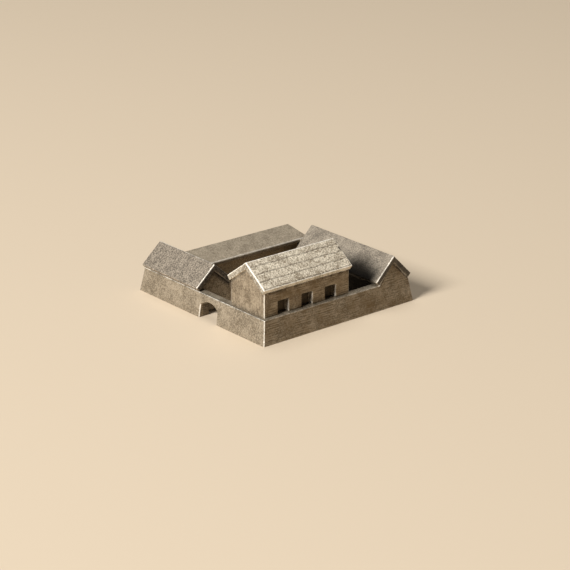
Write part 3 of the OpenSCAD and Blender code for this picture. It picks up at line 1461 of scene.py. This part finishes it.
@dataclass
class House:
    """The house in the near corner, seated over the wall's top, in millimetres.

    Attributes:
        site: sizes of the enclosure.
        openings: number of openings in the front.
        opening_w: width of an opening.
        opening_h: its height over the wall's top.
        opening_pitch: distance between two openings.
        recess: depth of an opening.
        lip: how far round an opening its edges are dulled.
        recess_lip: how far the dark faces keep behind the front.
        edge_wear_and_highlight: share of the wear that the right edges of an opening keep, the left ones
            keeping none, so only the lit edges carry their partly painted highlight.
        jamb_light: wear set on the right jambs at the front, a painted pool of light on faces that the
            light barely reaches.
        jamb_fade: how much less it is at the back.
        jamb_dull: share of it that is lost at the back of the head.
        jamb_film: share of the film there.
        sill_film: share of the film inside, at the sill.
        head_film: how much more it is at the head.
        film_from: share of the depth from which the film is left.
        jamb_facing: a point that faces further left than this is on a right jamb.
        dark_facing: a face inside that looks further left than this isn't dark, so the painted light on the
            right jambs shows.
        eave_reach: how far below the roof the painted shade reaches.
        eave_shade: share of that painted shade at the top.
        weathering: how the house is aged.
        finish: its metal.
        recess_finish: the metal inside its openings.
    """

    site: Site
    openings: int = 3
    opening_w: float = 1.58
    opening_h: float = 1.55
    opening_pitch: float = 3.38
    recess: float = 0.65
    lip: float = 0.3
    recess_lip: float = 0.12
    edge_wear_and_highlight: float = 0.45
    jamb_light: float = 0.68
    jamb_fade: float = 0.1
    jamb_dull: float = 0.5
    jamb_film: float = 0.5
    sill_film: float = 0.2
    head_film: float = 0.35
    film_from: float = 0.3
    jamb_facing: float = -0.7
    dark_facing: float = -0.5
    eave_reach: float = 0.45
    eave_shade: float = 0.7
    weathering: Weathering = Weathering(least=0.6)
    finish: AntiqueMetal = HOUSE_METAL
    recess_finish: AntiqueMetal = RECESS_METAL

    def build(self) -> Form:
        """Models the walls with their gables and openings.

        Returns:
            The house's walls.
        """
        low, high = Site.box("house_walls")
        h, w = self.site.wall_h, self.site.wall_foot_w
        (x0, y0, _), _ = self.site.foot
        eaves = Eaves.over("house_walls", Run.ALONG_X, Site.box("house_roof")[0][2],
                           reach=self.eave_reach, strength=self.eave_shade)
        walls = Bench.block("house_walls_cast", (low[0], low[1], h), high)
        eaves.cut(walls)
        foot = Bench.block("house_foot", (x0 + w, y0 + w, 0), (high[0], high[1], h))
        Bench.combine(walls, foot, Cut.ADD)
        centres = self._centres((low[0] + high[0]) / 2)
        for centre in centres:
            opening = Bench.block("opening", (centre - self.opening_w / 2, low[1] - PAST, h),
                                  (centre + self.opening_w / 2, low[1] + self.recess, h + self.opening_h))
            Bench.combine(walls, opening, Cut.TAKE)
        self.weathering.age(walls)
        # Painted shade under the roof's eaves
        Surface.store(walls, FILM_AND_SHADE, eaves.film(walls))
        self._dull_openings_light_jambs(walls, low[1], centres)
        self._darken_recesses(walls, low[1], centres)
        return Piece.dress(walls, "house_walls", "house_metal", self.finish)

    def _centres(self, middle: float) -> list[float]:
        """Places the middles of the openings along the front."""
        return [middle + (i - (self.openings - 1) / 2) * self.opening_pitch for i in range(self.openings)]

    def _dull_openings_light_jambs(self, walls: Form, front_y: float, centres: list[float]) -> None:
        """Takes the wear off the openings, except on their right edges, paints light on the right jambs as
        raised wear, and leaves the film inside.

        Args:
            walls: the fine mesh.
            front_y: place of the front face.
            centres: middles of the openings.
        """
        points = Surface.points(walls)
        wear_and_highlight = Surface.read(walls, WEAR_AND_HIGHLIGHT)
        film = Surface.read(walls, FILM_AND_SHADE)
        h, half, lip = self.site.wall_h, self.opening_w / 2, self.lip
        facing_left = Surface.normals(walls)[:, 0] < self.jamb_facing
        depth = Surface.ramp(points[:, 1], front_y, front_y + self.recess)
        height = Surface.ramp(points[:, 2], h, h + self.opening_h)
        low_front = (points[:, 2] < h + self.opening_h + lip) & (points[:, 1] < front_y + self.recess + lip)
        kept = np.where(facing_left, self.jamb_film * depth * height,
                        self.sill_film + self.head_film * height)
        # Painted light on the right jambs, fading towards the back
        rubbed = self.jamb_light - self.jamb_fade * depth
        for centre in centres:
            near = low_front & (np.abs(points[:, 0] - centre) < half + lip)
            right = points[:, 0] > centre + half - lip
            wear_and_highlight[near] *= self.edge_wear_and_highlight * right[near]
            jamb = near & right & facing_left
            wear_and_highlight[jamb] = (np.maximum(wear_and_highlight, rubbed) * (1 - self.jamb_dull * depth * height))[jamb]
            inside = near & (depth > self.film_from)
            film[inside] = np.maximum(film, kept)[inside]
        Surface.store(walls, WEAR_AND_HIGHLIGHT, wear_and_highlight)
        Surface.store(walls, FILM_AND_SHADE, film)

    def _darken_recesses(self, walls: Form, front_y: float, centres: list[float]) -> None:
        """Gives the faces inside the openings the dark metal that rubbing doesn't reach.

        Args:
            walls: the fine mesh.
            front_y: place of the front face.
            centres: middles of the openings.
        """
        walls.data.materials.append(self.finish.material())
        walls.data.materials.append(self.recess_finish.material())
        faces = walls.data.polygons
        x, y, z = Surface.rows(faces, "center").T
        h, lip = self.site.wall_h, self.recess_lip
        wide = np.any([np.abs(x - centre) < self.opening_w / 2 + lip for centre in centres], axis=0)
        deep = (y > front_y + lip) & (y < front_y + self.recess + lip)
        tall = (z > h - lip) & (z < h + self.opening_h + lip)
        not_left = Surface.rows(faces, "normal")[:, 0] > self.dark_facing
        faces.foreach_set("material_index", (wide & deep & tall & not_left).astype(np.int32))


@dataclass
class Barn:
    """A barn's walls inside the enclosure, under a gabled roof.

    Attributes:
        site: sizes of the enclosure.
        node: the node that it stands for.
        weathering: how it is aged.
        finish: its metal.
        painted_shadow: neighbour whose shadow is painted on it.
        court_swell: how much thicker its courtyard face is, in millimetres.
    """

    site: Site
    node: str
    weathering: Weathering = Weathering()
    finish: AntiqueMetal = BARN_METAL
    painted_shadow: PaintedShadow | None = None
    court_swell: float = 0

    def build(self) -> Form:
        """Models the gabled body and its foot inside the wall.

        Returns:
            The barn's walls.
        """
        low, high = Site.box(self.node)
        h, w = self.site.wall_h, self.site.wall_foot_w
        (x0, _, _), (x1, _, _) = self.site.foot
        eaves = Eaves.over(self.node, Run.ALONG_Y, h)
        walls = Bench.block(f"{self.node}_cast", (low[0], low[1], h), high)
        eaves.cut(walls)
        foot = Bench.block("barn_foot", (max(low[0], x0 + w), low[1], 0),
                           (min(high[0], x1 - w), high[1], h))
        Bench.combine(walls, foot, Cut.ADD)
        if self.court_swell:
            face = Bench.block("court_face", (high[0] - self.court_swell, low[1], 0),
                               (high[0] + self.court_swell, Site.box("back_range_walls")[0][1], h))
            Bench.combine(walls, face, Cut.ADD)
        self.weathering.age(walls)
        # Painted shade under the roof's eaves
        Surface.store(walls, FILM_AND_SHADE, eaves.film(walls))
        # Painted shadow of the house on the walls beside it
        if self.painted_shadow:
            Surface.lift(walls, FILM_AND_SHADE, self.painted_shadow.film(walls))
        return Piece.dress(walls, self.node, "barn_metal", self.finish)


@dataclass
class BackRange:
    """The low range along the back wall, under one shallow slope.

    Attributes:
        site: sizes of the enclosure.
        weathering: how the walls are aged.
        finish: their metal, darkened as painted shade.
        roof_weathering: how the roof is aged.
        roof_finish: its metal.
        roof_thickness: its thickness, in millimetres.
        roof_slope: its slope.
        fascia_darkening: how much darker the face of its eave is made.
    """

    site: Site
    weathering: Weathering = Weathering()
    finish: AntiqueMetal = RANGE_SHADED_METAL
    roof_weathering: Weathering = RANGE_ROOF_WEAR
    roof_finish: AntiqueMetal = RANGE_ROOF_METAL
    roof_thickness: float = 0.5
    roof_slope: float = math.radians(9.3)
    fascia_darkening: float = 0.65

    @staticmethod
    def eave_y(roof_low: Point) -> float:
        """Place of the eave's lower edge, behind the upper edge by the thickness and slope."""
        return roof_low[1] + BackRange.roof_thickness * math.sin(BackRange.roof_slope)

    def build(self) -> list[Form]:
        """Models the walls and the roof.

        Returns:
            The walls and the roof.
        """
        low, high = Site.box("back_range_walls")
        roof_low, roof_high = Site.box("back_range_roof")
        h = self.site.wall_h
        eave = self.eave_y(roof_low)
        slope = (h - roof_low[2]) / (high[1] - eave)
        walls = Bench.block("back_range_walls_cast", low, high)
        Bench.shave(walls, (0, high[1], h), (0, -slope, 1))
        self.weathering.age(walls)
        roof = Bench.block("back_range_roof_slab", roof_low, roof_high)
        up = self.roof_thickness / math.cos(math.atan(slope))
        Bench.shave(roof, (0, high[1], h), (0, slope, -1))
        Bench.shave(roof, (0, high[1], h + up), (0, -slope, 1))
        Bench.shave(roof, (0, eave, roof_low[2]), (0, -1, -slope))
        self.roof_weathering.age(roof)
        # Darkens the face of the eave that looks forward
        forward = -Surface.normals(roof)[:, 1]
        Surface.store(roof, FILM_AND_SHADE, self.fascia_darkening * Surface.ramp(forward, *FASCIA))
        return [Piece.dress(walls, "back_range_walls", "barn_metal", self.finish),
                Piece.dress(roof, "back_range_roof", "barn_roof_metal", self.roof_finish)]


@dataclass(frozen=True)
class Lamp:
    """A square soft light that faces the token.

    Attributes:
        name: its name.
        place: its place, in millimetres.
        size: length of its side, in millimetres.
        power: its power in watts.
    """

    name: str
    place: Point
    size: float
    power: float

    def hang(self) -> None:
        """Adds the light to the scene."""
        Bench.clear()
        bpy.ops.object.light_add(type="AREA", location=Vector(self.place) * MM)
        lamp = bpy.context.object
        lamp.name = self.name
        lamp.rotation_euler = Vector(self.place).to_track_quat("Z", "Y").to_euler()
        lamp.data.size = self.size * MM
        lamp.data.energy = self.power


@dataclass
class Studio:
    """Camera, floor and soft light.

    Attributes:
        azimuth: the camera's turn round the token, in degrees.
        elevation: its height angle, in degrees.
        distance: its distance from the target, in millimetres.
        target: the point that it looks at, in millimetres.
        lens: its focal length.
        sensor: width of its sensor.
        clip_start: nearest distance that it shows, in metres.
        floor_colour: colour of the floor.
        floor_roughness: its roughness.
        floor_size: its size, in metres.
        lamps: the key light on the left and a wide top light.
        sky_colour: colour of the sky.
        sky_strength: its strength.
    """

    azimuth: float = -39.79
    elevation: float = 20.65
    distance: float = 223.35
    target: Point = (2.94, 1.83, 0.0)
    lens: float = 120.8
    sensor: float = 36.0
    clip_start: float = 0.01
    floor_colour: Colour = (0.65, 0.53, 0.385)
    floor_roughness: float = 0.8
    floor_size: float = 3.0
    lamps: tuple[Lamp, ...] = (Lamp("key", (-740, -55, 510), size=260, power=12.4),
                               Lamp("top", (60, 200, 800), size=500, power=2.2))
    sky_colour: Colour = (1.0, 0.93, 0.83)
    sky_strength: float = 0.06

    def build(self) -> None:
        """Sets up the whole studio."""
        self._camera()
        self._floor()
        for lamp in self.lamps:
            lamp.hang()
        self._sky()
        bpy.context.scene.view_settings.view_transform = "Standard"

    def _camera(self) -> None:
        """Stands the camera at the photograph's viewing angle."""
        turn, tilt = math.radians(self.azimuth), math.radians(self.elevation)
        back = Vector((math.sin(turn) * math.cos(tilt), -math.cos(turn) * math.cos(tilt), math.sin(tilt)))
        Bench.clear()
        bpy.ops.object.camera_add()
        camera = bpy.context.object
        camera.name = "camera"
        camera.location = (Vector(self.target) + back * self.distance) * MM
        camera.rotation_euler = back.to_track_quat("Z", "Y").to_euler()
        camera.data.lens = self.lens
        camera.data.sensor_width = self.sensor
        camera.data.clip_start = self.clip_start
        bpy.context.scene.camera = camera

    def _floor(self) -> None:
        """Lays a plain pale floor."""
        Bench.clear()
        bpy.ops.mesh.primitive_plane_add(size=self.floor_size)
        floor = bpy.context.object
        floor.name = "floor"
        made = bpy.data.materials.new("floor")
        made.use_nodes = True
        shader = made.node_tree.nodes["Principled BSDF"]
        shader.inputs["Base Color"].default_value = (*self.floor_colour, 1)
        shader.inputs["Roughness"].default_value = self.floor_roughness
        floor.data.materials.append(made)

    def _sky(self) -> None:
        """Adds a dim, even sky."""
        world = bpy.data.worlds.new("sky")
        world.use_nodes = True
        sky = world.node_tree.nodes["Background"]
        sky.inputs["Color"].default_value = (*self.sky_colour, 1)
        sky.inputs["Strength"].default_value = self.sky_strength
        bpy.context.scene.world = world


def main() -> None:
    """Builds the token piece by piece around the frame."""
    logging.basicConfig(level=logging.INFO, format="%(name)s: %(message)s")
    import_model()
    Studio().build()
    site = Site.read()
    EnclosureWall(site).build()
    House(site).build()
    GabledRoof("house_roof", "house_roof_metal", Run.ALONG_X, HOUSE_ROOF_METAL, HOUSE_ROOF_WEAR,
               coursed=True, end_film=0.45, eave_rub=0.7, nick=1.45).build("house_walls")
    Barn(site, "gate_barn_walls", court_swell=0.3).build()
    GabledRoof("gate_barn_roof", "barn_roof_metal", Run.ALONG_Y, GATE_ROOF_METAL).build("gate_barn_walls")
    # The side barn's walls and roof carry the house's shadow, painted on as a dark film
    Barn(site, "side_barn_walls",
         painted_shadow=PaintedShadow("house_walls", near=5.5, far=9, strength=0.97)).build()
    GabledRoof("side_barn_roof", "barn_roof_metal", Run.ALONG_Y, SIDE_ROOF_METAL,
               painted_shadow=PaintedShadow("house_roof", near=4.25, far=5.45, strength=0.96)).build("side_barn_walls")
    BackRange(site).build()


if __name__ == "__main__":
    main()
